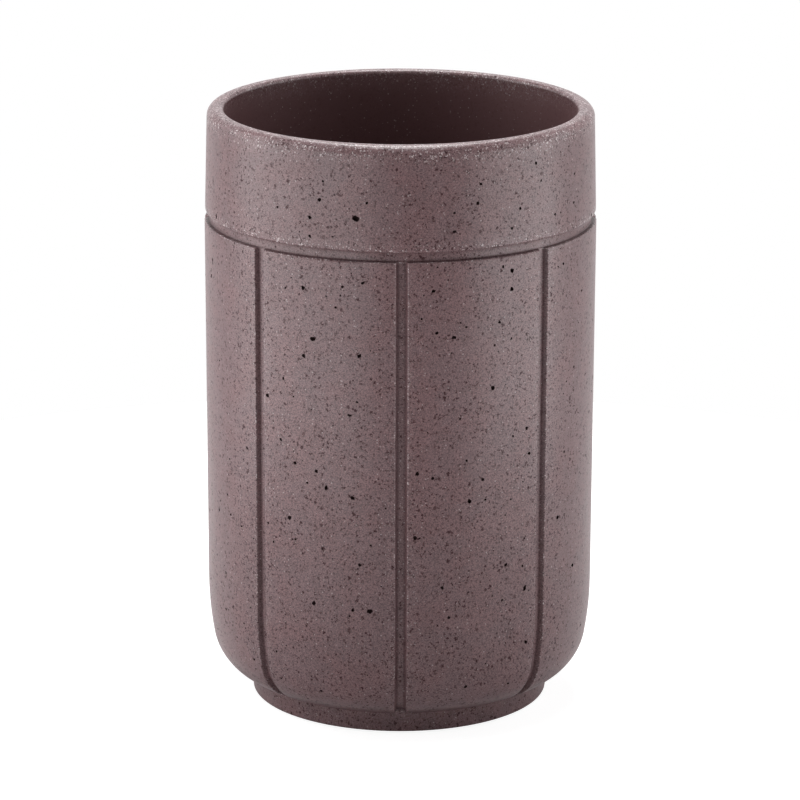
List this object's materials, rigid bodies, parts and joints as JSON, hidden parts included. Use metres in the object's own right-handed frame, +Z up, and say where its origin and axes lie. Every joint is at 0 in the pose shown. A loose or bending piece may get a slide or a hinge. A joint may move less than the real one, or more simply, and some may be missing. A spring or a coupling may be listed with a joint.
{
  "type": "bathroom tumbler",
  "caption": "Round footed bathroom tumbler in cast stone resin, with a plain band, a ring groove and upright grooves that divide its wall into panels.",
  "frame": {"origin": "centre of the circle of pads, on the surface that the tumbler stands on", "axes": "+Z up along the tumbler's axis, out of its mouth; +X and +Y each run through a groove"},
  "size_m": [0.075, 0.075, 0.1165],
  "materials": {
    "cast_stone": "satin",
    "clear_silicone": "satin"
  },
  "bodies": {
    "root": {"body": "cast_stone", "pad_1": "clear_silicone", "pad_2": "clear_silicone", "pad_3": "clear_silicone", "pad_4": "clear_silicone"}
  },
  "joints": []
}
